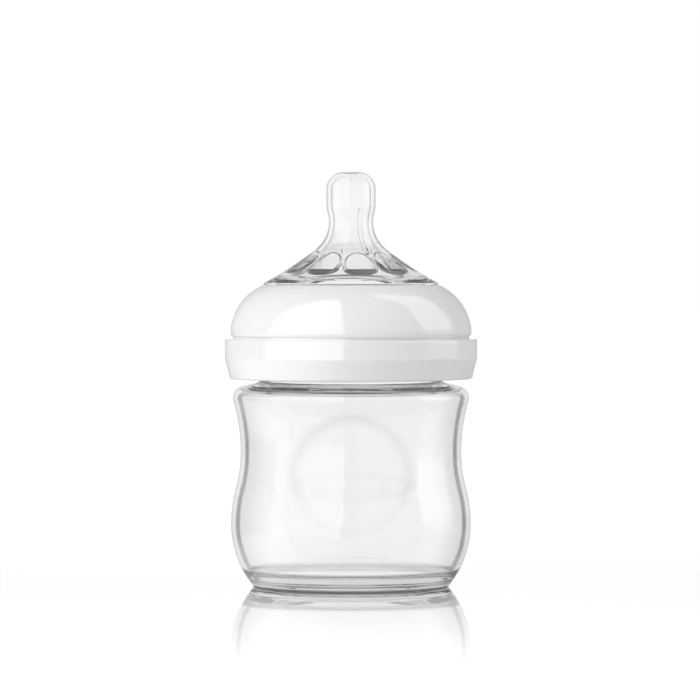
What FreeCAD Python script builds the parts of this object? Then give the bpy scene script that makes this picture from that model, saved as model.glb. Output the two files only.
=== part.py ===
"""A wide-neck baby bottle: a clear waisted bottle, a silicone teat and the screw ring that holds it.

Millimetres, +Z up, origin at the middle of the foot. The front, with the grip dimple, faces -Y.
"""
import FreeCAD, Part
import math
import os

# Bottle: outline from the foot up to the shoulder
wall = 1.2
waist_radius = 29.95
waist_height = 36.5
bulge_swell = 2.6
bulge_height = 17.0
belly_arc_radius = 26.5
heel_fillet = 1.8
shoulder_swell = 2.1
shoulder_corner_radius = 3.5
shoulder_slope_angle = 12.0
shoulder_top_height = 55.4

# Bottle: foot and floor
floor_thickness = 3.0
push_up = 1.2
rest_ring_width = 5.5
floor_fillet = 2.0

# Bottle: neck
neck_radius = 24.8
neck_bore_radius = 22.9
neck_height = 20.8
neck_root_fillet = 0.6
rim_fillet = 0.4

# Bottle: round grip dimple at the front
dimple_height = 31.2
dimple_radius = 17.3
dimple_floor_radius = 12.2
dimple_depth = 0.6
dimple_spline_count = 16

# Thread: room left for it between the neck and the ring
thread_depth = 1.3
thread_clearance = 0.5

# Screw ring
foot_gap = 0.8
clamp_thickness = 3.5
ring_hole_radius = 22.9
ring_land_width = 1.1
ring_wall = 1.6
sleeve_wall = 1.4
sleeve_recess = 1.0
dome_radius = 32.7
dome_lean = 8.0
dome_upright = 1.3
snap_lean_height = 0.75
snap_lean_depth = 0.25
snap_groove_height = 0.8
snap_groove_depth = 0.4
band_radius = 34.25
band_height = 10.85
band_upright = 4.85
band_bend_radius = 3.0
band_taper_angle = 14.0
band_top_fillet = 0.35
band_foot_fillet = 0.6

# Teat
flange_thickness = 2.0
flange_clearance = 0.4
groove_clearance = 0.3
lip_overlap = 0.8
lip_thickness = 0.45
lip_slope_angle = 28.0
teat_height = 30.5
teat_wall = 1.2
cone_wall = 2.0
tip_corner_radius = 4.5
bulb_radius = 6.65
bulb_length = 8.7
throat_radius = 5.97
throat_drop = 13.6
throat_angle = 52.0
collar_radius = 18.3
collar_height = 0.9
base_bore_radius = 20.4
feed_hole_diameter = 0.5

# Teat: petal pockets in the inner wall of the cone
petal_count = 9
petal_angle = 10.0
petal_depth_high = 0.4
petal_depth_low = 1.3
petal_middle_radius = 15.2
petal_width = 8.6
petal_rise = 8.2
petal_fall = 2.7

# Teat: stiffening rib down the bore and the throat, and the vent valves under the flange
rib_angle = 28.5
rib_width = 1.1
rib_height = 0.5
rib_top_drop = 9.7
vent_count = 2
vent_radius = 0.8
vent_length = 1.2

# Heights that follow from the sizes above
floor_height = push_up + floor_thickness
rim_height = shoulder_top_height + neck_height
flange_top = rim_height + flange_thickness
ring_top = flange_top + clamp_thickness
ring_foot = shoulder_top_height + foot_gap
ledge_height = ring_foot + band_height
tip_height = ring_top + teat_height

# Radii that follow from the sizes above
bulge_radius = waist_radius + bulge_swell
shoulder_radius = waist_radius + shoulder_swell
sleeve_bore_radius = neck_radius + thread_depth + thread_clearance
sleeve_radius = sleeve_bore_radius + sleeve_wall
flange_radius = sleeve_bore_radius - flange_clearance
groove_radius = ring_hole_radius - groove_clearance
lip_radius = ring_hole_radius + lip_overlap

front_angle = -90.0
AXIS = FreeCAD.Vector(0, 0, 1)
ORIGIN = FreeCAD.Vector(0, 0, 0)


def point(radius, height):
    """The point of the XZ half plane at a radius and a height."""
    return FreeCAD.Vector(radius, 0, height)


def on_circle(center, radius, degrees):
    """Radius and height of a point on a circle, at an angle from +X towards +Z."""
    turn = math.radians(degrees)
    return center[0] + radius * math.cos(turn), center[1] + radius * math.sin(turn)


class Outline:
    """A closed outline of lines and arcs in the XZ half plane, which spins about Z."""

    def __init__(self, radius, height):
        self.first = (radius, height)
        self.last = self.first
        self.edges = []

    def line(self, radius, height):
        """Go straight to a point."""
        target = (radius, height)
        self.edges.append(Part.LineSegment(point(*self.last), point(*target)).toShape())
        self.last = target
        return self

    def arc(self, center, radius, start, end):
        """Follow a circle from one angle to another, going straight to its start if need be."""
        begin = on_circle(center, radius, start)
        if math.dist(begin, self.last) > 1e-6:
            self.line(*begin)
        middle = on_circle(center, radius, (start + end) / 2)
        target = on_circle(center, radius, end)
        self.edges.append(Part.Arc(point(*self.last), point(*middle), point(*target)).toShape())
        self.last = target
        return self

    def face(self):
        """The flat face inside the outline, which a last line closes."""
        self.line(*self.first)
        return Part.Face(Part.Wire(self.edges))

    def spin(self):
        """The solid that the closed outline makes round Z."""
        return self.face().revolve(ORIGIN, AXIS, 360)


def around(shape, count, first_degrees):
    """Copies of a shape that stands at +X, evenly spaced about Z from a first angle."""
    copies = []
    for index in range(count):
        copy = shape.copy()
        copy.rotate(ORIGIN, AXIS, first_degrees + index * 360 / count)
        copies.append(copy)
    return copies


class BottleWall:
    """The bottle's side from foot to neck, as tangent arcs, at an inset from the outer face."""

    def __init__(self, inset):
        self.inset = inset
        self.belly = (bulge_radius - belly_arc_radius, bulge_height)
        rise = waist_height - bulge_height
        self.swing_radius = (rise ** 2 + bulge_swell ** 2) / (4 * bulge_swell)
        self.swing = math.degrees(math.asin(rise / 2 / self.swing_radius))
        self.bulge = (bulge_radius - self.swing_radius, bulge_height)
        self.dip = (waist_radius + self.swing_radius, waist_height)
        slope = math.radians(shoulder_slope_angle)
        corner_middle = shoulder_radius - shoulder_corner_radius
        fall = (corner_middle - neck_radius) * math.tan(slope) + shoulder_corner_radius / math.cos(slope)
        self.corner = (corner_middle, shoulder_top_height - fall)
        climb = self.corner[1] - waist_height
        reach = waist_radius - corner_middle
        spread = climb ** 2 + reach ** 2 - shoulder_corner_radius ** 2
        self.sweep_radius = spread / (2 * (shoulder_corner_radius - reach))
        self.sweep = (waist_radius + self.sweep_radius, waist_height)
        self.lean = math.degrees(math.atan2(climb, self.sweep[0] - corner_middle))

    def radius_at(self, height):
        """Radius of the wall at a height between the foot and the shoulder's corner."""
        swap = (bulge_height + waist_height) / 2
        if height < bulge_height:
            center, radius, side = self.belly, belly_arc_radius - self.inset, 1
        elif height < swap:
            center, radius, side = self.bulge, self.swing_radius - self.inset, 1
        elif height < waist_height:
            center, radius, side = self.dip, self.swing_radius + self.inset, -1
        else:
            center, radius, side = self.sweep, self.sweep_radius + self.inset, -1
        return center[0] + side * math.sqrt(radius ** 2 - (height - center[1]) ** 2)

    def spin(self, floor, foot_fillet, throat, rim_side):
        """The solid inside this wall, from a flat floor up through a straight throat to the rim.

        The rim's edge is rounded towards the axis where rim_side is 1, and away from it at -1.
        """
        inset = self.inset
        belly_radius = belly_arc_radius - inset
        heel_reach = belly_radius - foot_fillet
        heel_drop = bulge_height - floor - foot_fillet
        heel_angle = -math.degrees(math.asin(heel_drop / heel_reach))
        heel = on_circle(self.belly, heel_reach, heel_angle)

        corner_radius = shoulder_corner_radius - inset
        corner_angle = 90 - shoulder_slope_angle
        slope_start = on_circle(self.corner, corner_radius, corner_angle)
        slope = math.radians(shoulder_slope_angle)
        root_radius = throat + neck_root_fillet
        slope_rise = (slope_start[0] - root_radius) * math.tan(slope)
        root = (root_radius, slope_start[1] + slope_rise + neck_root_fillet / math.cos(slope))
        rim = (throat - rim_side * rim_fillet, rim_height - rim_fillet)

        outline = Outline(0, floor)
        outline.arc(heel, foot_fillet, -90, heel_angle)
        outline.arc(self.belly, belly_radius, heel_angle, 0)
        outline.arc(self.bulge, self.swing_radius - inset, 0, self.swing)
        outline.arc(self.dip, self.swing_radius + inset, 180 + self.swing, 180)
        outline.arc(self.sweep, self.sweep_radius + inset, 180, 180 - self.lean)
        outline.arc(self.corner, corner_radius, -self.lean, corner_angle)
        outline.arc(root, neck_root_fillet, 180 + corner_angle, 180)
        outline.arc(rim, rim_fillet, 90 - 90 * rim_side, 90)
        outline.line(0, rim_height)
        return outline.spin()


def dimple_curve(radius, depth_of):
    """A closed curve that goes round the dimple, at a depth given by the point of the circle."""
    points = []
    for index in range(dimple_spline_count):
        turn = 2 * math.pi * index / dimple_spline_count
        across = radius * math.cos(turn)
        height = dimple_height + radius * math.sin(turn)
        points.append(FreeCAD.Vector(across, -depth_of(across, height), height))
    curve = Part.BSplineCurve()
    curve.interpolate(Points=points, PeriodicFlag=True)
    return Part.Wire(curve.toShape())


def dimple_tool(inset):
    """What the dimple takes away from a bottle shape whose wall has the given inset.

    Its flank goes from the wall in to a surface a dimple's depth below, a little past both.
    """
    flank = dimple_radius - dimple_floor_radius
    outer_share, inner_share = -0.6, 1.25

    def curve_on_wall(share):
        surface = BottleWall(inset + share * dimple_depth)
        return dimple_curve(dimple_radius - share * flank,
                            lambda x, z: math.sqrt(surface.radius_at(z) ** 2 - x ** 2))

    def flat_curve(share, distance):
        return dimple_curve(dimple_radius - share * flank, lambda x, z: distance)

    plug = Part.makeLoft([
        flat_curve(inner_share, waist_radius / 3),
        curve_on_wall(inner_share),
        curve_on_wall(outer_share),
        flat_curve(outer_share, bulge_radius + 2 * wall),
    ], True, True)
    core = BottleWall(inset + dimple_depth)
    return plug.cut(core.spin(floor_height + inset, floor_fillet, neck_bore_radius - dimple_depth, 1))


def make_bottle_body():
    """The clear bottle: an even wall from the pushed-up foot to the neck, and the grip dimple."""
    outside = BottleWall(0).spin(0, heel_fillet, neck_radius, 1).cut(dimple_tool(0))
    inside = BottleWall(wall).spin(floor_height, floor_fillet, neck_bore_radius, -1)
    inside = inside.cut(dimple_tool(wall))
    hollow_radius = BottleWall(0).radius_at(0) - rest_ring_width
    dome_arc = (hollow_radius ** 2 + push_up ** 2) / (2 * push_up)
    hollow = Part.makeSphere(dome_arc, point(0, push_up - dome_arc))
    return outside.cut([inside, hollow])


def make_screw_ring():
    """The screw ring: domed shell, snap groove, ledge and band outside, and the threaded sleeve inside."""
    land_radius = ring_hole_radius + ring_land_width
    lip_height = ledge_height + snap_groove_height
    lip_radius_here = dome_radius - snap_lean_depth
    groove_foot = lip_radius_here - snap_groove_depth
    wall_foot = lip_height + snap_lean_height
    dome_foot = wall_foot + dome_upright
    lean = math.radians(dome_lean)
    across = dome_radius - land_radius
    rise = ring_top - dome_foot
    dome_arc = (across ** 2 + rise ** 2) / (2 * (across * math.cos(lean) - rise * math.sin(lean)))
    dome_middle = on_circle((dome_radius, dome_foot), dome_arc, 180 + dome_lean)
    dome_end = math.degrees(math.asin((ring_top - dome_middle[1]) / dome_arc))
    inner_arc = dome_arc - ring_wall
    inner_end = math.degrees(math.acos((sleeve_radius - dome_middle[0]) / inner_arc))

    taper = math.radians(band_taper_angle)
    bend = (band_radius - band_bend_radius, ledge_height - band_upright)

    def taper_radius(depth, height):
        return bend[0] + (band_bend_radius - depth + (height - bend[1]) * math.sin(taper)) / math.cos(taper)

    ledge_edge = (band_radius - band_top_fillet, ledge_height - band_top_fillet)
    foot_height = ring_foot + band_foot_fillet
    foot_edge = (taper_radius(band_foot_fillet, foot_height), foot_height)

    outline = Outline(ring_hole_radius, flange_top)
    outline.line(ring_hole_radius, ring_top)
    outline.arc(dome_middle, dome_arc, dome_end, dome_lean)
    outline.line(dome_radius, wall_foot)
    outline.line(lip_radius_here, lip_height)
    outline.line(groove_foot, lip_height)
    outline.line(groove_foot, ledge_height)
    outline.arc(ledge_edge, band_top_fillet, 90, 0)
    outline.arc(bend, band_bend_radius, 0, -band_taper_angle)
    outline.arc(foot_edge, band_foot_fillet, -band_taper_angle, -90)
    outline.line(taper_radius(ring_wall, ring_foot), ring_foot)
    outline.arc(bend, band_bend_radius - ring_wall, -band_taper_angle, 0)
    outline.line(band_radius - ring_wall, ledge_height - ring_wall)
    outline.line(dome_radius - ring_wall, ledge_height - ring_wall)
    outline.arc(dome_middle, inner_arc, dome_lean, inner_end)
    outline.line(sleeve_radius, ring_foot + sleeve_recess)
    outline.line(sleeve_bore_radius, ring_foot + sleeve_recess)
    outline.line(sleeve_bore_radius, flange_top)
    return outline.spin()


class TeatShape:
    """The teat's tangent arcs: thin at the bulb and the throat, and thicker down the cone."""

    def __init__(self):
        throat_height = tip_height - throat_drop
        bulb_foot = tip_height - bulb_length
        rise = bulb_foot - throat_height
        narrowing = bulb_radius - throat_radius
        self.swing_radius = (rise ** 2 + narrowing ** 2) / (4 * narrowing)
        self.swing = math.degrees(math.asin(rise / 2 / self.swing_radius))
        self.corner = (bulb_radius - tip_corner_radius, tip_height - tip_corner_radius)
        self.bulb = (bulb_radius - self.swing_radius, bulb_foot)
        self.dip = (throat_radius + self.swing_radius, throat_height)

        lip_angle = 90 - lip_slope_angle
        start, end = math.radians(throat_angle), math.radians(lip_angle)
        across = lip_radius - throat_radius
        drop = throat_height - ring_top - lip_thickness
        first = (1 - math.cos(start), math.sin(start))
        second = (math.cos(start) - math.cos(end), math.sin(end) - math.sin(start))
        scale = first[0] * second[1] - first[1] * second[0]
        self.throat_arc = (across * second[1] - drop * second[0]) / scale
        self.cone_arc = (drop * first[0] - across * first[1]) / scale
        self.throat = (throat_radius + self.throat_arc, throat_height)
        self.cone = on_circle(self.throat, self.cone_arc - self.throat_arc, throat_angle)
        self.lip_angle = lip_angle

        bore_radius = throat_radius - teat_wall
        reach = self.cone[0] - bore_radius
        height = self.cone[1] - throat_height
        self.inner_cone_arc = self.cone_arc + cone_wall
        spare = self.inner_cone_arc ** 2 - reach ** 2 - height ** 2
        self.inner_throat_arc = spare / (2 * (self.inner_cone_arc - reach))
        self.inner_throat = (bore_radius + self.inner_throat_arc, throat_height)
        self.inner_turn = math.degrees(math.atan2(height, reach - self.inner_throat_arc))

    def cone_turn(self, radius):
        """How far the cone's inner face has turned from upright where it has this radius."""
        return math.degrees(math.acos((self.cone[0] - radius) / self.inner_cone_arc))

    def on_cone(self, turn, depth):
        """The point this deep in the wall, where the cone's inner face has turned this far."""
        return on_circle(self.cone, self.inner_cone_arc - depth, 180 + turn)

    def bore(self, outline, depth, top):
        """Add the inner face of bulb and throat, this deep in the wall, down from an angle of the bulb."""
        inset = teat_wall - depth
        outline.arc(self.bulb, self.swing_radius - inset, top, -self.swing)
        outline.arc(self.dip, self.swing_radius + inset, 180 - self.swing, 180)
        outline.arc(self.inner_throat, self.inner_throat_arc - depth, 180, 180 + self.inner_turn)


def petal_pocket(shape):
    """One petal pocket at +X: a petal with its round end down, let into the cone's inner wall.

    Its bottom slants, so that it is deep at the round end and shallow towards the throat.
    """
    turn = shape.cone_turn(petal_middle_radius)
    slant = (petal_depth_low - petal_depth_high) / (petal_rise + petal_fall)

    def bottom(uphill):
        depth = petal_depth_low - slant * (uphill + petal_fall)
        return shape.on_cone(turn - math.degrees(uphill / shape.inner_cone_arc), depth)

    layer = Outline(*bottom(petal_rise + 2 * petal_depth_high))
    layer.line(*bottom(-petal_fall - petal_depth_low))
    layer.line(layer.last[0], ring_top)
    layer.line(0, ring_top)
    layer.line(0, layer.first[1])
    sector = layer.face()
    sector.rotate(ORIGIN, AXIS, -180 / petal_count)
    sector = sector.revolve(ORIGIN, AXIS, 360 / petal_count)

    centre = FreeCAD.Vector(0, 0, 0)
    side = FreeCAD.Vector(petal_width / 2, 0, 0)
    crest = FreeCAD.Vector(0, petal_rise, 0)
    foot = FreeCAD.Vector(0, -petal_fall, 0)
    upper = Part.ArcOfEllipse(Part.Ellipse(crest, side, centre), -math.pi / 2, math.pi / 2)
    lower = Part.ArcOfEllipse(Part.Ellipse(side, foot, centre), 0, math.pi)
    petal = Part.Face(Part.Wire([upper.toShape(), lower.toShape()]))
    reach = petal_width / 2
    plug = petal.extrude(FreeCAD.Vector(0, 0, 2 * reach))
    plug.translate(FreeCAD.Vector(0, 0, -reach))
    lean = math.radians(turn)
    uphill = FreeCAD.Vector(-math.sin(lean), 0, math.cos(lean))
    outward = FreeCAD.Vector(math.cos(lean), 0, math.sin(lean))
    frame = FreeCAD.Matrix()
    frame.setCol(0, uphill.cross(outward))
    frame.setCol(1, uphill)
    frame.setCol(2, outward)
    frame.setCol(3, point(*shape.on_cone(turn, 0)))
    plug.Placement = FreeCAD.Placement(frame).multiply(plug.Placement)
    return plug.common(sector)


def throat_rib(shape):
    """The rib at +X: a fin that stands in from the wall of the bore and follows the throat's flare."""
    fall = shape.bulb[1] - tip_height + rib_top_drop
    top = -math.degrees(math.asin(fall / (shape.swing_radius - teat_wall)))
    fin = Outline(*on_circle(shape.bulb, shape.swing_radius - teat_wall / 2, top))
    shape.bore(fin, -rib_height, top)
    root_arc = shape.inner_throat_arc - teat_wall / 2
    fin.arc(shape.inner_throat, root_arc, 180 + shape.inner_turn, 180)
    rib = fin.face().extrude(FreeCAD.Vector(0, rib_width, 0))
    rib.translate(FreeCAD.Vector(0, -rib_width / 2, 0))
    return rib


def make_teat():
    """The silicone teat: bulb, throat, cone with petal pockets, groove for the ring, and flange."""
    shape = TeatShape()
    collar_turn = shape.cone_turn(collar_radius)
    collar_foot = shape.on_cone(collar_turn, 0)[1] - collar_height
    bore_top = tip_height - teat_wall

    outline = Outline(0, tip_height)
    outline.arc(shape.corner, tip_corner_radius, 90, 0)
    outline.arc(shape.bulb, shape.swing_radius, 0, -shape.swing)
    outline.arc(shape.dip, shape.swing_radius, 180 - shape.swing, 180)
    outline.arc(shape.throat, shape.throat_arc, 180, 180 + throat_angle)
    outline.arc(shape.cone, shape.cone_arc, 180 + throat_angle, 180 + shape.lip_angle)
    outline.line(lip_radius, ring_top)
    outline.line(groove_radius, ring_top)
    outline.line(groove_radius, flange_top)
    outline.line(flange_radius, flange_top)
    outline.line(flange_radius, rim_height)
    outline.line(0, rim_height)
    outside = outline.spin()

    hollow = Outline(0, bore_top)
    hollow.arc(shape.corner, tip_corner_radius - teat_wall, 90, 0)
    shape.bore(hollow, 0, 0)
    hollow.arc(shape.cone, shape.inner_cone_arc, 180 + shape.inner_turn, 180 + collar_turn)
    hollow.line(collar_radius, collar_foot)
    hollow.line(base_bore_radius, collar_foot)
    hollow.line(base_bore_radius, rim_height - flange_thickness)
    hollow.line(0, rim_height - flange_thickness)
    petals = around(petal_pocket(shape), petal_count, front_angle + petal_angle)
    feed_hole = Part.makeCylinder(feed_hole_diameter / 2, 2 * teat_wall, point(0, bore_top - teat_wall / 2))
    teat = outside.cut([hollow.spin(), feed_hole] + petals)

    ribs = around(throat_rib(shape), 1, front_angle + rib_angle)
    vent_middle = (base_bore_radius + neck_bore_radius) / 2
    vent = Part.makeCylinder(vent_radius, vent_length + flange_thickness / 2,
                             point(vent_middle, rim_height - vent_length))
    return teat.fuse(ribs + around(vent, vent_count, front_angle)).removeSplitter()


os.makedirs("parts", exist_ok=True)
pieces = {
    "bottle_body": make_bottle_body(),
    "teat": make_teat(),
    "screw_ring": make_screw_ring(),
}
for name, solid in pieces.items():
    solid.exportStep(f"parts/{name}.step")
    box = solid.optimalBoundingBox()
    print(name, solid.isValid(), len(solid.Solids), round(solid.Volume, 1), "mm3",
          [round(value, 2) for value in (box.XMin, box.XMax, box.YMin, box.YMax, box.ZMin, box.ZMax)])
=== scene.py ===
"""Looks of a wide-neck baby bottle: clear waisted bottle, clear silicone teat and white screw ring.

Lengths of the pieces are millimetres, those of the studio and of all meshes are metres, and angles are
degrees. The front, with the grip dimple, faces -Y, and azimuths are counted from it towards +X.
"""
import logging
import math
from abc import ABC, abstractmethod
from collections.abc import Callable
from dataclasses import dataclass, field
from enum import Enum
from typing import Any, NamedTuple

import bpy
import numpy as np
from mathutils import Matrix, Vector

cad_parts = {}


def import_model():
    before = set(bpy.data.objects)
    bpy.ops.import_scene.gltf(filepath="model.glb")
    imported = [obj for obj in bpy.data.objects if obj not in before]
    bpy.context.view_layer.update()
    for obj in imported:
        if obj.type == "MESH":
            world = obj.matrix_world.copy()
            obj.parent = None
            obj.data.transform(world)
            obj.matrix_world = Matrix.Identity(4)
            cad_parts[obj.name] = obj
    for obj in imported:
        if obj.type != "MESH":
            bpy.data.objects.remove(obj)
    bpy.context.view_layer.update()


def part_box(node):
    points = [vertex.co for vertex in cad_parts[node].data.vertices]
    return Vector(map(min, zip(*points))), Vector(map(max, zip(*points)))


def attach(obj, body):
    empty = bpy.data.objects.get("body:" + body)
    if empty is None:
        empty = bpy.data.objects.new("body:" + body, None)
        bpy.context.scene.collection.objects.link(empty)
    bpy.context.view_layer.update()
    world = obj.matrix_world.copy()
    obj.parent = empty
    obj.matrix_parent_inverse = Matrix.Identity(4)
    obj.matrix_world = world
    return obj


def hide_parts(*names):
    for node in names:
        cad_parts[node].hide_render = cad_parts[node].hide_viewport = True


MM = 0.001
PHOTO_PIXELS = 700
OUTWARD = "outward"
# Attribute of painted shade on the bottle: the dimple's flank and a contact shadow at its foot
PAINTED_SHADE = "painted_shade"
LOG = logging.getLogger("baby_bottle")

# How near a point lies to a face that it is on, and to a point that it is the same as
ON_FACE = 0.005
SAME_POINT = 1e-4
SAME_ANGLE = 1e-4
TINY = 1e-9
SHARP_ANGLE = 35.0
# Highest value of x (1 - x)^2 between 0 and 1
FLANK_PEAK = 4.0 / 27.0
HAZE_DETAIL = 4.0

Point = tuple[float, float]
Span = tuple[float, float]
Colour = tuple[float, float, float, float]
Array = np.ndarray


class Places(NamedTuple):
    """Where points lie: azimuths in degrees from the front, radii and heights."""

    azimuth: Array
    radius: Array
    height: Array


Rule = Callable[[Places], tuple[Array, Array]]


def smooth(share: Array) -> Array:
    """A soft step: 0 up to 0, 1 from 1, and level at both ends."""
    held = np.clip(share, 0.0, 1.0)
    return held * held * (3.0 - 2.0 * held)


def on_circle(center: Point, radius: float, degrees: float) -> Point:
    """Radius and height of the point of a circle at an angle from the outward side, upwards."""
    turn = math.radians(degrees)
    return center[0] + radius * math.cos(turn), center[1] + radius * math.sin(turn)


def grey(level: float) -> Colour:
    """An even grey as a colour."""
    return level, level, level, 1.0


@dataclass
class Profile:
    """A line of points in the half plane of radius and height, which turns into a round piece."""

    points: list[Point] = field(default_factory=list)

    def line(self, radius: float, height: float, spacing: float = 1.2) -> None:
        """Go straight to a point.

        Args:
            radius: Radius of the point.
            height: Height of the point.
            spacing: Longest step between two points of the line.
        """
        target = (radius, height)
        last = self.points[-1] if self.points else target
        pieces = max(1, math.ceil(math.dist(last, target) / spacing))
        for index in range(1, pieces + 1):
            share = index / pieces
            self.points.append((last[0] + share * (radius - last[0]), last[1] + share * (height - last[1])))

    def arc(self, center: Point, radius: float, start: float, end: float,
            spacing: float = 0.6, most_turn: float = 10.0) -> None:
        """Follow a circle, going straight to its start if need be.

        Args:
            center: Radius and height of the circle's middle.
            radius: The circle's own radius.
            start: Angle where the arc begins.
            end: Angle where it ends.
            spacing: Longest step between two points of the arc.
            most_turn: Largest angle between two points of the arc.
        """
        begin = on_circle(center, radius, start)
        if not self.points or math.dist(begin, self.points[-1]) > SAME_POINT:
            self.line(*begin)
        sweep = abs(end - start)
        length = math.radians(sweep) * radius
        pieces = max(1, math.ceil(length / spacing), math.ceil(sweep / most_turn))
        for index in range(1, pieces + 1):
            self.points.append(on_circle(center, radius, start + (end - start) * index / pieces))

    def turn(self, name: str, steps: int) -> bpy.types.Object:
        """Turn the profile round Z, as on a lathe.

        Args:
            name: Name of the new piece.
            steps: Number of faces round the piece.

        Returns:
            The piece, smooth but for its sharp edges, with its faces pointing outwards.
        """
        bpy.ops.mesh.primitive_plane_add(size=MM)
        piece = bpy.context.object
        piece.name = piece.data.name = name
        bpy.ops.object.mode_set(mode="EDIT")
        bpy.ops.mesh.select_all(action="SELECT")
        bpy.ops.mesh.merge(type="CENTER")
        last = self.points[0]
        bpy.ops.transform.translate(value=(last[0] * MM, 0.0, last[1] * MM))
        for spot in self.points[1:]:
            step = ((spot[0] - last[0]) * MM, 0.0, (spot[1] - last[1]) * MM)
            bpy.ops.mesh.extrude_region_move(TRANSFORM_OT_translate={"value": step})
            last = spot
        bpy.ops.object.mode_set(mode="OBJECT")
        bpy.ops.object.modifier_add(type="SCREW")
        lathe = piece.modifiers[-1]
        lathe.axis = "Z"
        lathe.angle = 2.0 * math.pi
        lathe.steps = lathe.render_steps = steps
        lathe.use_merge_vertices = True
        lathe.merge_threshold = SAME_POINT * MM
        bpy.ops.object.modifier_apply(modifier=lathe.name)
        bpy.ops.object.mode_set(mode="EDIT")
        bpy.ops.mesh.select_all(action="SELECT")
        bpy.ops.mesh.remove_doubles(threshold=SAME_POINT * MM)
        bpy.ops.mesh.normals_make_consistent(inside=False)
        bpy.ops.object.mode_set(mode="OBJECT")
        bpy.ops.object.shade_smooth_by_angle(angle=math.radians(SHARP_ANGLE))
        return piece


def places_of(piece: bpy.types.Object) -> Places:
    """Read the places of a piece's points.

    Args:
        piece: A piece that stands round Z.

    Returns:
        The places, in millimetres.
    """
    flat = np.empty(3 * len(piece.data.vertices))
    piece.data.vertices.foreach_get("co", flat)
    spots = flat.reshape(-1, 3) / MM
    azimuth = np.degrees(np.arctan2(spots[:, 0], -spots[:, 1]))
    return Places(azimuth, np.hypot(spots[:, 0], spots[:, 1]), spots[:, 2].copy())


def press(piece: bpy.types.Object, rule: Rule) -> None:
    """Press a form into a turned piece by moving its points in and out and up and down.

    Args:
        piece: A piece that stands round Z.
        rule: Takes the places of points, and gives new radii and heights.
    """
    places = places_of(piece)
    new_radius, new_height = rule(places)
    turn = np.radians(places.azimuth)
    spots = np.stack([new_radius * np.sin(turn), -new_radius * np.cos(turn), new_height], axis=1)
    piece.data.vertices.foreach_set("co", (spots * MM).reshape(-1))
    piece.data.update()


def mark_outward(piece: bpy.types.Object) -> None:
    """Note for the finish how far each face looks away from Z: 1 outwards, -1 towards Z, 0 up or down.

    Args:
        piece: A finished mesh.
    """
    mesh = piece.data
    middles, normals = np.empty(3 * len(mesh.polygons)), np.empty(3 * len(mesh.polygons))
    mesh.polygons.foreach_get("center", middles)
    mesh.polygons.foreach_get("normal", normals)
    radial = middles.reshape(-1, 3)[:, :2]
    outward = (radial * normals.reshape(-1, 3)[:, :2]).sum(axis=1) / np.hypot(*radial.T)
    marks = mesh.attributes.new(OUTWARD, "FLOAT", "FACE")
    marks.data.foreach_set("value", outward.astype(np.float32))


def around(center: Point, places: Places) -> tuple[Array, Array]:
    """Angles of points round a circle's middle, in radians down from its side near Z, and distances."""
    inwards, down = center[0] - places.radius, center[1] - places.height
    return np.arctan2(down, inwards), np.hypot(down, inwards)


def turned_by(azimuth: Array, degrees: float) -> Array:
    """Azimuths counted from another azimuth, from -180 up to 180."""
    return (azimuth - degrees + 180.0) % 360.0 - 180.0


class Wire:
    """A node's output that takes part in arithmetic: each operator adds a Math node."""

    def __init__(self, graph: "Graph", socket: bpy.types.NodeSocket) -> None:
        """Keep the socket and the graph that it belongs to."""
        self.graph = graph
        self.socket = socket

    def _math(self, operation: str, first: Any, second: Any) -> "Wire":
        """One Math node on two values or wires."""
        return self.graph.node("ShaderNodeMath", {"operation": operation}, {0: first, 1: second})

    def __add__(self, other: Any) -> "Wire":
        """This value and another."""
        return self._math("ADD", self, other)

    __radd__ = __add__

    def __sub__(self, other: Any) -> "Wire":
        """This value less another."""
        return self._math("SUBTRACT", self, other)

    def __rsub__(self, other: Any) -> "Wire":
        """Another value less this one."""
        return self._math("SUBTRACT", other, self)

    def __mul__(self, other: Any) -> "Wire":
        """This value times another."""
        return self._math("MULTIPLY", self, other)

    __rmul__ = __mul__

    def __pow__(self, other: Any) -> "Wire":
        """This value to a power."""
        return self._math("POWER", self, other)


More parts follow.
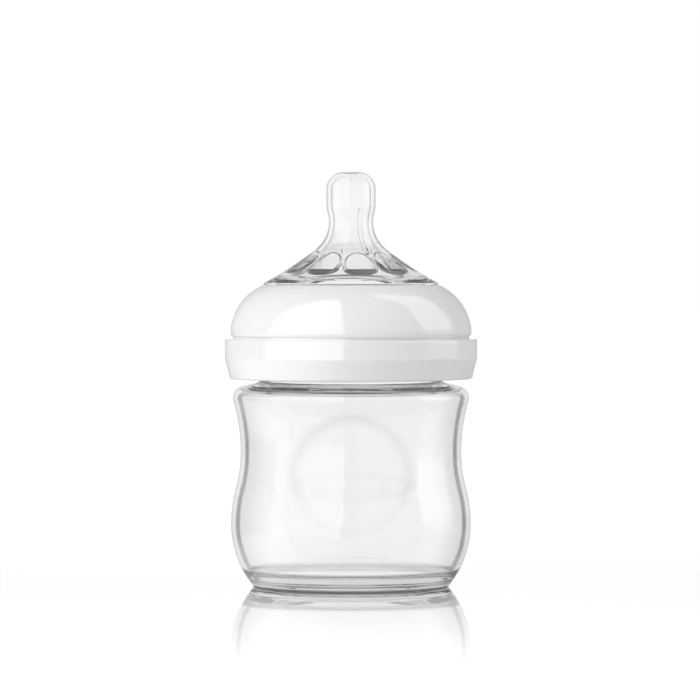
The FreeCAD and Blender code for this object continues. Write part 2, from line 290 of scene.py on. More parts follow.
class Graph:
    """The node tree of a material or the world, emptied and ready to be wired."""

    def __init__(self, owner: Any) -> None:
        """Switch the owner to nodes and clear them.

        Args:
            owner: A material or a world.
        """
        owner.use_nodes = True
        self.tree = owner.node_tree
        self.tree.nodes.clear()

    def node(self, kind: str, settings: dict[str, Any] | None = None,
             values: dict[Any, Any] | None = None, output: Any = 0) -> Wire | None:
        """Add one node.

        Args:
            kind: The node's type.
            settings: Attributes of the node, set first.
            values: Numbers, colours or wires for its sockets, by name or number.
            output: Name or number of the output that is wanted.

        Returns:
            That output, or None for a node that has none.
        """
        made = self.tree.nodes.new(kind)
        for name, setting in (settings or {}).items():
            setattr(made, name, setting)
        for name, value in (values or {}).items():
            if isinstance(value, Wire):
                self.tree.links.new(value.socket, made.inputs[name])
            else:
                made.inputs[name].default_value = value
        return Wire(self, made.outputs[output]) if len(made.outputs) else None

    def soft_step(self, value: Wire, span: Span) -> Wire:
        """A value that goes softly from 0 at the span's start to 1 at its end."""
        values = {"Value": value, "From Min": span[0], "From Max": span[1], "To Min": 0.0, "To Max": 1.0}
        return self.node("ShaderNodeMapRange", {"interpolation_type": "SMOOTHSTEP"}, values)

    def fade(self, value: Wire, span: Span) -> Wire:
        """A value that goes softly from 1 at the span's start to 0 at its end."""
        return 1.0 - self.soft_step(value, span)

    def noise(self, place: Wire, scale: float, detail: float = 2.0) -> Wire:
        """Even noise between 0 and 1 over a place."""
        values = {"Vector": place, "Scale": scale, "Detail": detail}
        return self.node("ShaderNodeTexNoise", None, values, "Fac")

    def place(self, kind: str = "Object") -> Wire:
        """Where a point lies on its piece, or another kind of coordinate."""
        return self.node("ShaderNodeTexCoord", None, None, kind)

    def distance(self, place: Wire, ahead: float = 0.0) -> Wire:
        """How far a place is from a spot of the axis, or this far in front of it."""
        values = {0: place, 1: (0.0, -ahead, 0.0)}
        return self.node("ShaderNodeVectorMath", {"operation": "DISTANCE"}, values, "Value")

    def noted(self, name: str) -> Wire:
        """A value that was noted on the mesh."""
        return self.node("ShaderNodeAttribute", {"attribute_name": name}, None, "Fac")

    def higher(self, first: Wire, second: Wire | float) -> Wire:
        """The higher of two values."""
        return self.node("ShaderNodeMath", {"operation": "MAXIMUM"}, {0: first, 1: second})

    def towards(self, sign: float) -> Wire:
        """How far a face looks away from Z, for a sign of 1, or towards Z, for -1, from 0 to 1."""
        return self.higher(self.noted(OUTWARD) * sign, 0.0)

    def blend(self, share: Wire, first: Colour | Wire, second: Colour | Wire) -> Wire:
        """A colour between two, by a share."""
        values = {"Factor": share, 6: first, 7: second}
        return self.node("ShaderNodeMix", {"data_type": "RGBA"}, values, 2)


class Ray(Enum):
    """Kinds of ray that the studio answers in its own way."""

    CAMERA = "Is Camera Ray"
    GLOSSY = "Is Glossy Ray"
    TRANSMISSION = "Is Transmission Ray"
    SHADOW = "Is Shadow Ray"
    MIRRORINGS = "Glossy Depth"

    def wire(self, graph: Graph) -> Wire:
        """1 where the ray is of this kind, and else 0; for the last one, a count."""
        return graph.node("ShaderNodeLightPath", None, None, self.value)


@dataclass(frozen=True)
class Finish:
    """A smooth moulding with the faint ripples and haze of its mould."""

    name: str
    tint: Colour
    cloud: Colour
    roughness: float
    roughness_spread: float
    ripple_scale: float
    ripple_height: float
    haze_fineness: float

    def ground(self, graph: Graph) -> tuple[Wire, dict[str, Any]]:
        """Wire what every moulding shows.

        Args:
            graph: The nodes of the material.

        Returns:
            The hazy colour, and values for the roughness and the normal.
        """
        place = graph.place()
        ripple = graph.noise(place, self.ripple_scale)
        haze = graph.noise(place, self.ripple_scale * self.haze_fineness, HAZE_DETAIL)
        bump = graph.node("ShaderNodeBump", None, {
            "Strength": 1.0, "Distance": self.ripple_height * MM, "Height": ripple}, "Normal")
        roughness = self.roughness + self.roughness_spread * haze
        return graph.blend(haze, self.tint, self.cloud), {"Roughness": roughness, "Normal": bump}


@dataclass(frozen=True)
class ClearFinish(Finish):
    """A clear moulding: refraction, a little grey in thick places, and painted shade that darkens it where
    it is seen edge on.
    """

    ior: float
    absorption: Colour
    density: float
    shade: Colour
    # Painted shade: how far the colour darkens where inner faces (rim, broad) and outer faces (edge) are
    # seen edge on
    rim: float
    rim_span: Span
    edge: float
    edge_span: Span
    rim_power: float = 2.0
    edge_power: float = 4.0
    broad: float = 0.0
    broad_span: Span = (0.3, 0.65)

    def material(self) -> bpy.types.Material:
        """Wire the finish.

        Returns:
            The new material.
        """
        made = bpy.data.materials.new(self.name)
        graph = Graph(made)
        colour, ground = self.ground(graph)
        inside = graph.towards(-1.0)
        facing = graph.node("ShaderNodeLayerWeight", None, {"Blend": 0.5}, "Facing")
        # Painted shade: colour darkened by how edge on each face is seen, plus the painted shade noted on
        # the mesh
        rim = inside ** self.rim_power * graph.soft_step(facing, self.rim_span) * self.rim
        edge = graph.towards(1.0) ** self.edge_power * graph.soft_step(facing, self.edge_span) * self.edge
        broad = inside * graph.soft_step(facing, self.broad_span) * self.broad * (1.0 - rim)
        surface = graph.node("ShaderNodeBsdfPrincipled", None, {
            "Base Color": graph.blend(rim + broad + edge + graph.noted(PAINTED_SHADE), colour, grey(0.0)),
            "IOR": self.ior,
            "Transmission Weight": 1.0,
            **ground,
        })
        lamp_light = graph.node("ShaderNodeBsdfTransparent", None, {"Color": self.shade})
        mixed = graph.node("ShaderNodeMixShader", None, {
            0: Ray.SHADOW.wire(graph), 1: surface, 2: lamp_light})
        volume = graph.node("ShaderNodeVolumeAbsorption", None, {
            "Color": self.absorption, "Density": self.density})
        graph.node("ShaderNodeOutputMaterial", None, {"Surface": mixed, "Volume": volume})
        return made


@dataclass(frozen=True)
class GlossFinish(Finish):
    """A glossy moulding, whose inner faces glow with painted light near the foot and are darkened with
    painted shade deep inside.
    """

    specular: float = 1.0
    # Painted light on inner faces near the foot, as emission, and painted shade on those deep inside
    painted_inner_light: float = 0.6
    painted_inner_shade: float = 0.65
    light_foot: float = 57.0
    light_top: float = 64.0

    def material(self) -> bpy.types.Material:
        """Wire the finish.

        Returns:
            The new material.
        """
        made = bpy.data.materials.new(self.name)
        graph = Graph(made)
        colour, ground = self.ground(graph)
        inside = graph.towards(-1.0)
        height = graph.node("ShaderNodeSeparateXYZ", None, {"Vector": graph.place()}, "Z")
        # Painted shade on inner faces deep inside, and painted light glowing from inner faces near the foot
        deep = inside * graph.soft_step(height, (self.light_foot * MM, self.light_top * MM))
        painted_glow = (inside - deep) * self.painted_inner_light
        surface = graph.node("ShaderNodeBsdfPrincipled", None, {
            "Base Color": graph.blend(deep * self.painted_inner_shade, colour, grey(0.0)),
            "Specular IOR Level": self.specular,
            "Emission Color": graph.blend(painted_glow, grey(0.0), self.tint),
            "Emission Strength": 1.0,
            **ground,
        })
        graph.node("ShaderNodeOutputMaterial", None, {"Surface": surface})
        return made


CLEAR_PLASTIC = ClearFinish(
    name="clear_plastic", ior=1.49, tint=grey(0.985), cloud=grey(0.96), roughness=0.0, roughness_spread=0.01,
    ripple_scale=60.0, ripple_height=0.008, haze_fineness=5.0, absorption=(0.5, 0.51, 0.52, 1.0),
    density=6.0, shade=grey(0.93), rim=1.0, rim_span=(0.68, 0.76), edge=0.5, edge_span=(0.86, 0.95),
    broad=0.33)
CLEAR_SILICONE = ClearFinish(
    name="clear_silicone", ior=1.41, tint=grey(0.99), cloud=grey(0.97), roughness=0.0, roughness_spread=0.01,
    ripple_scale=80.0, ripple_height=0.006, haze_fineness=5.0, absorption=grey(0.5), density=8.0,
    shade=grey(0.9), rim=0.8, rim_span=(0.55, 0.72), edge=0.7, edge_span=(0.57, 0.8))
WHITE_PLASTIC = GlossFinish(
    name="white_plastic", tint=(0.86, 0.86, 0.865, 1.0), cloud=(0.84, 0.84, 0.845, 1.0),
    roughness=0.06, roughness_spread=0.04, ripple_scale=70.0, ripple_height=0.006, haze_fineness=6.0)


@dataclass
class Moulding(ABC):
    """A piece that is turned from one profile, pressed into shape and seated on its body."""

    name: str
    node: str
    body: str
    slot: str
    steps: int
    finish: ClearFinish | GlossFinish

    @abstractmethod
    def profile(self) -> Profile:
        """The section that is turned."""

    @abstractmethod
    def shape(self, piece: bpy.types.Object) -> None:
        """Press the forms that aren't round into the turned piece."""

    def build(self) -> bpy.types.Object:
        """Make the piece, give it its finish, seat it on its body in the frame, and hide the imported node
        that it replaces.

        Returns:
            The finished piece.
        """
        piece = self.profile().turn(self.name, self.steps)
        self.shape(piece)
        mark_outward(piece)
        piece.data.materials.append(self.finish.material())
        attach(piece, self.body)
        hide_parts(self.node)
        return piece


@dataclass(frozen=True)
class Thread:
    """The ridges of a screw thread, which rise with the azimuth."""

    low: float
    height: float = 1.2
    lead: float = 9.0
    starts: int = 2
    crest: float = 0.8
    foot: float = 1.9
    turn: float = 300.0
    fade: float = 25.0

    def share(self, azimuth: Array, height: Array) -> Array:
        """Share of the ridge's height at each point of the wall.

        Args:
            azimuth: Azimuths of the points.
            height: Heights of the points.

        Returns:
            1 on a crest, 0 between the ridges.
        """
        shares = np.zeros_like(height)
        for start in range(self.starts):
            along = (azimuth - start * 360.0 / self.starts) % 360.0
            off = np.abs(height - self.low - self.lead * along / 360.0)
            flank = np.clip((self.foot / 2 - off) / (self.foot / 2 - self.crest / 2), 0.0, 1.0)
            ends = smooth(np.minimum(along, self.turn - along) / self.fade)
            shares = np.maximum(shares, flank * ends)
        return shares


@dataclass
class Bottle(Moulding):
    """The clear bottle: pushed-up foot, belly, waist, shoulder and threaded neck, in one even wall."""

    name: str = "bottle_shell"
    node: str = "bottle_body"
    body: str = "bottle"
    slot: str = "clear_bottle"
    steps: int = 224
    finish: ClearFinish = CLEAR_PLASTIC
    wall: float = 1.2
    bulge_swell: float = 2.6
    bulge_height: float = 17.0
    belly_arc: float = 26.5
    heel_fillet: float = 1.8
    waist_height: float = 36.5
    shoulder_swell: float = 2.1
    shoulder_corner: float = 3.5
    shoulder_slope: float = 12.0
    neck_height: float = 20.8
    neck_radius: float = 24.8
    neck_bore: float = 22.9
    root_fillet: float = 0.6
    rim_fillet: float = 0.4
    floor_height: float = 4.2
    floor_fillet: float = 2.0
    push_up: float = 1.2
    rest_width: float = 5.5
    dimple_height: float = 31.2
    dimple_radius: float = 17.3
    dimple_floor_radius: float = 12.2
    dimple_depth: float = 0.6
    # Painted shade on the dimple's flank, stronger on its upper half than on its lower
    dimple_flank_shade: float = 0.08
    low_flank_shade: float = 0.4
    # Painted contact shadow on the lowest part of the bottle, where it stands on the floor
    heel_contact_shadow: float = 0.9
    heel_contact_shadow_top: float = 0.8
    heel_start: float = 25.0
    foot_line_height: float = 1.7
    foot_line_half: float = 0.6
    foot_line_depth: float = 0.09
    fine_angle: float = -29.0
    thread: Thread = Thread(low=64.0)
    thread_spacing: float = 0.25

    def __post_init__(self) -> None:
        """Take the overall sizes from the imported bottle, and work out the tangent arcs of its side."""
        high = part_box(self.node)[1]
        self.bulge_radius = high[0] / MM
        self.rim_height = high[2] / MM
        self.waist_radius = self.bulge_radius - self.bulge_swell
        self.shoulder_radius = self.waist_radius + self.shoulder_swell
        self.shoulder_top = self.rim_height - self.neck_height
        rise = self.waist_height - self.bulge_height
        self.swing_arc = (rise ** 2 + self.bulge_swell ** 2) / (4.0 * self.bulge_swell)
        self.swing = math.degrees(math.asin(rise / 2.0 / self.swing_arc))
        self.belly = (self.bulge_radius - self.belly_arc, self.bulge_height)
        self.bulge = (self.bulge_radius - self.swing_arc, self.bulge_height)
        self.dip = (self.waist_radius + self.swing_arc, self.waist_height)
        slope = math.radians(self.shoulder_slope)
        middle = self.shoulder_radius - self.shoulder_corner
        fall = (middle - self.neck_radius) * math.tan(slope) + self.shoulder_corner / math.cos(slope)
        self.corner = (middle, self.shoulder_top - fall)
        climb = self.corner[1] - self.waist_height
        reach = self.waist_radius - middle
        spread = climb ** 2 + reach ** 2 - self.shoulder_corner ** 2
        self.sweep_arc = spread / (2.0 * (self.shoulder_corner - reach))
        self.sweep = (self.waist_radius + self.sweep_arc, self.waist_height)
        self.lean = math.degrees(math.atan2(climb, self.sweep[0] - middle))

    def side(self, inset: float, floor: float, foot_fillet: float, throat: float) -> Profile:
        """One face of the wall, from the foot or floor up to the neck's root.

        Args:
            inset: Distance of the face below the outer one.
            floor: Height of the flat that the face starts from.
            foot_fillet: Rounding between that flat and the side.
            throat: Radius of the neck's face.

        Returns:
            The face's profile, going up.
        """
        belly_arc = self.belly_arc - inset
        heel_reach = belly_arc - foot_fillet
        heel_angle = -math.degrees(math.asin((self.bulge_height - floor - foot_fillet) / heel_reach))
        corner_arc = self.shoulder_corner - inset
        corner_angle = 90.0 - self.shoulder_slope
        slope = math.radians(self.shoulder_slope)
        slope_start = on_circle(self.corner, corner_arc, corner_angle)
        root_radius = throat + self.root_fillet
        slope_rise = (slope_start[0] - root_radius) * math.tan(slope)
        root = (root_radius, slope_start[1] + slope_rise + self.root_fillet / math.cos(slope))
        face = Profile()
        face.arc(on_circle(self.belly, heel_reach, heel_angle), foot_fillet, -90.0, heel_angle, spacing=0.3)
        fine_end = max(heel_angle, self.fine_angle)
        if fine_end > heel_angle:
            face.arc(self.belly, belly_arc, heel_angle, fine_end, spacing=0.12)
        face.arc(self.belly, belly_arc, fine_end, 0.0)
        face.arc(self.bulge, self.swing_arc - inset, 0.0, self.swing)
        face.arc(self.dip, self.swing_arc + inset, 180.0 + self.swing, 180.0)
        face.arc(self.sweep, self.sweep_arc + inset, 180.0, 180.0 - self.lean)
        face.arc(self.corner, corner_arc, -self.lean, corner_angle, spacing=0.3)
        face.arc(root, self.root_fillet, 180.0 + corner_angle, 180.0, spacing=0.2)
        return face

    def profile(self) -> Profile:
        """The whole wall: under the foot, up outside, over the rim, down inside and along the floor.

        Returns:
            The profile, to be turned.
        """
        outer = self.side(0.0, 0.0, self.heel_fillet, self.neck_radius)
        inner = self.side(self.wall, self.floor_height, self.floor_fillet, self.neck_bore)
        belly_foot = self.belly[0] + math.sqrt(self.belly_arc ** 2 - self.bulge_height ** 2)
        hollow_radius = belly_foot - self.rest_width
        dome_arc = (hollow_radius ** 2 + self.push_up ** 2) / (2.0 * self.push_up)
        dome_end = math.degrees(math.acos(hollow_radius / dome_arc))
        whole = Profile()
        whole.arc((0.0, self.push_up - dome_arc), dome_arc, 90.0, dome_end)
        whole.line(*outer.points[0])
        whole.points += outer.points[1:]
        thread_top = self.thread.low + self.thread.lead
        whole.line(self.neck_radius, self.thread.low - self.thread.foot)
        whole.line(self.neck_radius, thread_top, self.thread_spacing)
        edge = self.rim_height - self.rim_fillet
        whole.arc((self.neck_radius - self.rim_fillet, edge), self.rim_fillet, 0.0, 90.0, spacing=0.2)
        whole.arc((self.neck_bore + self.rim_fillet, edge), self.rim_fillet, 90.0, 180.0, spacing=0.2)
        whole.line(*inner.points[-1])
        whole.points += inner.points[-2::-1]
        whole.line(0.0, self.floor_height)
        return whole

    def dimple(self, places: Places) -> Array:
        """Share of the grip dimple's depth at each point.

        Args:
            places: The places of the points.

        Returns:
            1 on the dimple's floor, 0 outside it.
        """
        azimuth, radius, height = places
        turn = np.radians(azimuth)
        reach = np.hypot(radius * np.sin(turn), height - self.dimple_height)
        flank = self.dimple_radius - self.dimple_floor_radius
        return smooth((self.dimple_radius - reach) / flank) * (np.cos(turn) > 0.0)

    def mark_painted_shade(self, piece: bpy.types.Object) -> None:
        """Note for the finish where shade is painted on the bottle: on the dimple's flank, and as a contact
        shadow at the heel where it stands.

        Args:
            piece: The bottle, turned but not pressed yet.
        """
        places = places_of(piece)
        share = self.dimple(places)
        # Painted shade on the dimple's flank, lighter on its lower half
        upper = smooth((places.height - self.dimple_height) / self.dimple_floor_radius + 1.0)
        weight = self.dimple_flank_shade * (self.low_flank_shade + (1.0 - self.low_flank_shade) * upper)
        flank = share * (1.0 - share) ** 2 / FLANK_PEAK * weight
        # Painted contact shadow, darkest where the bottle stands and gone a little higher up
        low = smooth((self.heel_contact_shadow_top - places.height) / self.heel_contact_shadow_top)
        heel = self.heel_contact_shadow * low * (places.radius > self.heel_start)
        marks = piece.data.attributes.new(PAINTED_SHADE, "FLOAT", "POINT")
        marks.data.foreach_set("value", (flank + heel).astype(np.float32))

    def carve(self, places: Places) -> tuple[Array, Array]:
        """Press in the grip dimple, both faces alike, and the foot's mould line, and raise the thread.

        Args:
            places: The places of the points.

        Returns:
            New radii and heights.
        """
        azimuth, radius, height = places
        depth = self.dimple_depth * self.dimple(places)
        on_neck = np.abs(radius - self.neck_radius) < ON_FACE
        ridge = self.thread.height * self.thread.share(azimuth, height) * on_neck
        off_line = (height - self.foot_line_height) / self.foot_line_half
        line = self.foot_line_depth * np.maximum(1.0 - off_line ** 2, 0.0) ** 2 * (radius > self.heel_start)
        return radius - depth - line + ridge, height

    def shape(self, piece: bpy.types.Object) -> None:
        """Note where shade is painted, and press in the dimple, the mould line and the thread."""
        self.mark_painted_shade(piece)
        press(piece, self.carve)


@dataclass
class Teat(Moulding):
    """The silicone teat: feeding tip, bulb, throat, cone with petal pockets, groove and flange."""

    name: str = "teat_skin"
    node: str = "teat"
    body: str = "teat"
    slot: str = "clear_silicone"
    steps: int = 333
    finish: ClearFinish = CLEAR_SILICONE
    flange_thickness: float = 2.0
    clamp_thickness: float = 3.5
    groove_radius: float = 22.6
    lip_radius: float = 23.7
    lip_thickness: float = 0.45
    lip_slope: float = 28.0
    wall: float = 1.2
    cone_wall: float = 2.0
    tip_corner: float = 4.5
    bulb_radius: float = 6.65
    bulb_length: float = 8.7
    throat_radius: float = 5.97
    throat_drop: float = 13.6
    throat_angle: float = 52.0
    collar_radius: float = 18.3
    collar_height: float = 0.9
    base_bore: float = 20.4
    feed_hole_radius: float = 0.25
    petal_count: int = 9
    petal_azimuth: float = 10.0
    petal_depth_high: float = 0.4
    petal_depth_low: float = 1.3
    petal_edge: float = 0.5
    petal_middle: float = 15.2
    petal_width: float = 8.6
    petal_rise: float = 8.2
    petal_fall: float = 2.7
    petal_ramp: float = 2.2
    rib_azimuth: float = 28.5
    rib_width: float = 1.1
    rib_height: float = 0.5
    rib_top_drop: float = 9.7
    rib_edge: float = 0.18
    rib_end: float = 0.3
    rib_fade: float = 2.0
    vent_count: int = 2
    vent_radius: float = 0.8
    vent_length: float = 1.2
    vent_middle: float = 21.65
    vent_flare: float = 1.3

    def __post_init__(self) -> None:
        """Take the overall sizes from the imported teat, and work out the tangent arcs of its wall."""
        low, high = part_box(self.node)
        self.tip_height = high[2] / MM
        self.flange_radius = high[0] / MM
        self.rim_height = low[2] / MM + self.vent_length
        self.flange_top = self.rim_height + self.flange_thickness
        self.ring_top = self.flange_top + self.clamp_thickness
        self.throat_height = self.tip_height - self.throat_drop
        bulb_foot = self.tip_height - self.bulb_length
        rise = bulb_foot - self.throat_height
        narrowing = self.bulb_radius - self.throat_radius
        self.swing_arc = (rise ** 2 + narrowing ** 2) / (4.0 * narrowing)
        self.swing = math.degrees(math.asin(rise / 2.0 / self.swing_arc))
        self.corner = (self.bulb_radius - self.tip_corner, self.tip_height - self.tip_corner)
        self.bulb = (self.bulb_radius - self.swing_arc, bulb_foot)
        self.dip = (self.throat_radius + self.swing_arc, self.throat_height)
        start, end = math.radians(self.throat_angle), math.radians(90.0 - self.lip_slope)
        across = self.lip_radius - self.throat_radius
        drop = self.throat_height - self.ring_top - self.lip_thickness
        first = (1.0 - math.cos(start), math.sin(start))
        second = (math.cos(start) - math.cos(end), math.sin(end) - math.sin(start))
        scale = first[0] * second[1] - first[1] * second[0]
        self.throat_arc = (across * second[1] - drop * second[0]) / scale
        self.cone_arc = (drop * first[0] - across * first[1]) / scale
        self.throat = (self.throat_radius + self.throat_arc, self.throat_height)
        self.cone = on_circle(self.throat, self.cone_arc - self.throat_arc, self.throat_angle)
        bore = self.throat_radius - self.wall
        reach = self.cone[0] - bore
        height = self.cone[1] - self.throat_height
        self.inner_cone = self.cone_arc + self.cone_wall
        spare = self.inner_cone ** 2 - reach ** 2 - height ** 2
        self.inner_throat_arc = spare / (2.0 * (self.inner_cone - reach))
        self.inner_throat = (bore + self.inner_throat_arc, self.throat_height)
        self.inner_turn = math.degrees(math.atan2(height, reach - self.inner_throat_arc))

    def cone_turn(self, radius: float) -> float:
        """How far the cone's inner face has turned from upright where it has this radius."""
        return math.degrees(math.acos((self.cone[0] - radius) / self.inner_cone))

    def profile(self) -> Profile:
        """The whole wall: down outside from the feed hole to the flange, and up inside to the tip.

        Returns:
            The profile, to be turned.
        """
        low = 180.0 + self.throat_angle
        inner_low = 180.0 + self.inner_turn
        collar = 180.0 + self.cone_turn(self.collar_radius)
        collar_foot = on_circle(self.cone, self.inner_cone, collar)[1] - self.collar_height
        whole = Profile()
        whole.line(self.feed_hole_radius, self.tip_height)
        whole.arc(self.corner, self.tip_corner, 90.0, 0.0, spacing=0.3)
        whole.arc(self.bulb, self.swing_arc, 0.0, -self.swing)
        whole.arc(self.dip, self.swing_arc, 180.0 - self.swing, 180.0)
        whole.arc(self.throat, self.throat_arc, 180.0, low, spacing=0.4)
        whole.arc(self.cone, self.cone_arc, low, 270.0 - self.lip_slope)
        whole.line(self.lip_radius, self.ring_top)
        whole.line(self.groove_radius, self.ring_top)
        whole.line(self.groove_radius, self.flange_top)
        whole.line(self.flange_radius, self.flange_top)
        whole.line(self.flange_radius, self.rim_height)
        whole.line(self.vent_middle + 2.0 * self.vent_radius, self.rim_height)
        whole.line(self.base_bore, self.rim_height, spacing=0.2)
        whole.line(self.base_bore, collar_foot)
        whole.line(self.collar_radius, collar_foot)
        whole.arc(self.cone, self.inner_cone, collar, inner_low, spacing=0.15)
        whole.arc(self.inner_throat, self.inner_throat_arc, inner_low, 180.0, spacing=0.2)
        whole.arc(self.dip, self.swing_arc + self.wall, 180.0, 180.0 - self.swing, spacing=0.3)
        whole.arc(self.bulb, self.swing_arc - self.wall, -self.swing, 0.0, spacing=0.3)
        whole.arc(self.corner, self.tip_corner - self.wall, 0.0, 90.0, spacing=0.3)
        whole.line(self.feed_hole_radius, self.tip_height - self.wall)
        whole.line(self.feed_hole_radius, self.tip_height)
        return whole

    def petals(self, places: Places) -> tuple[Array, Array]:
        """Press the petal pockets into the inner cone, deep at their round lower ends and shallow above.

        Args:
            places: The places of the points.

        Returns:
            New radii and heights.
        """
        azimuth, radius, height = places
        seam = math.radians(self.inner_turn)
        cone_turn, cone_reach = around(self.cone, places)
        throat_turn, throat_reach = around(self.inner_throat, places)
        on_cone = (np.abs(cone_reach - self.inner_cone) < ON_FACE) & (cone_turn > seam - SAME_ANGLE)
        on_throat = (np.abs(throat_reach - self.inner_throat_arc) < ON_FACE) & (throat_turn < seam)
        on_throat &= throat_turn > 0.0
        turn = np.where(on_cone, cone_turn, throat_turn)
        middle = math.radians(self.cone_turn(self.petal_middle))
        run = self.inner_cone * (middle - seam) + self.inner_throat_arc * (seam - throat_turn)
        uphill = np.where(on_cone, self.inner_cone * (middle - cone_turn), run)
        pitch = 360.0 / self.petal_count
        beside = (azimuth - self.petal_azimuth + pitch / 2.0) % pitch - pitch / 2.0
        aside = radius * np.sin(np.radians(beside))
        half = self.petal_width / 2.0
        reach = np.where(uphill > 0.0, self.petal_rise, self.petal_fall)
        share = np.hypot(aside / half, uphill / reach) + TINY
        steepness = np.hypot(aside / half ** 2, uphill / reach ** 2) / share + TINY
        climb = (uphill + self.petal_fall) / (self.petal_rise + self.petal_fall)
        depth = self.petal_depth_low + (self.petal_depth_high - self.petal_depth_low) * climb
        ramp = np.clip((uphill + self.petal_fall) / self.petal_ramp, 0.0, 1.0)
        depth = depth * ramp * smooth((1.0 - share) / steepness / self.petal_edge) * (on_cone | on_throat)
        return radius + depth * np.cos(turn), height + depth * np.sin(turn)

    def rib_and_vents(self, places: Places) -> tuple[Array, Array]:
        """Raise the rib down the bore and throat, and draw the vent valves out of the flange's foot.

        Args:
            places: The places of the points.

        Returns:
            New radii and heights.
        """
        azimuth, radius, height = places
        rib_top = self.tip_height - self.rib_top_drop
        down = np.maximum(self.throat_height - height, 0.0)
        across = self.inner_throat[0] - radius
        turn = np.arctan2(down, across)
        on_bore = (height > self.throat_height) & (radius < self.throat_radius - ON_FACE)
        on_flare = (down > 0.0) & (np.abs(np.hypot(across, down) - self.inner_throat_arc) < ON_FACE)
        aside = np.abs(radius * np.radians(turned_by(azimuth, self.rib_azimuth)))
        foot = self.inner_throat_arc * (math.radians(self.inner_turn) - turn)
        ends = smooth((rib_top - height) / self.rib_end) * smooth(foot / self.rib_fade)
        flank = smooth(((self.rib_width + self.rib_edge) / 2.0 - aside) / self.rib_edge)
        rise = self.rib_height * flank * ends * (on_bore | on_flare)
        new_radius = radius - rise * np.cos(turn)
        new_height = height - rise * np.sin(turn)
        on_foot = np.abs(height - self.rim_height) < ON_FACE
        for index in range(self.vent_count):
            swing = np.radians(turned_by(azimuth, index * 360.0 / self.vent_count))
            away = np.hypot(radius * np.cos(swing) - self.vent_middle, radius * np.sin(swing))
            share = smooth((self.vent_radius * self.vent_flare - away) / self.vent_radius)
            new_height -= self.vent_length * share * on_foot
        return new_radius, new_height

    def shape(self, piece: bpy.types.Object) -> None:
        """Press in the petal pockets, and raise the rib and the vent valves."""
        press(piece, self.petals)
        press(piece, self.rib_and_vents)


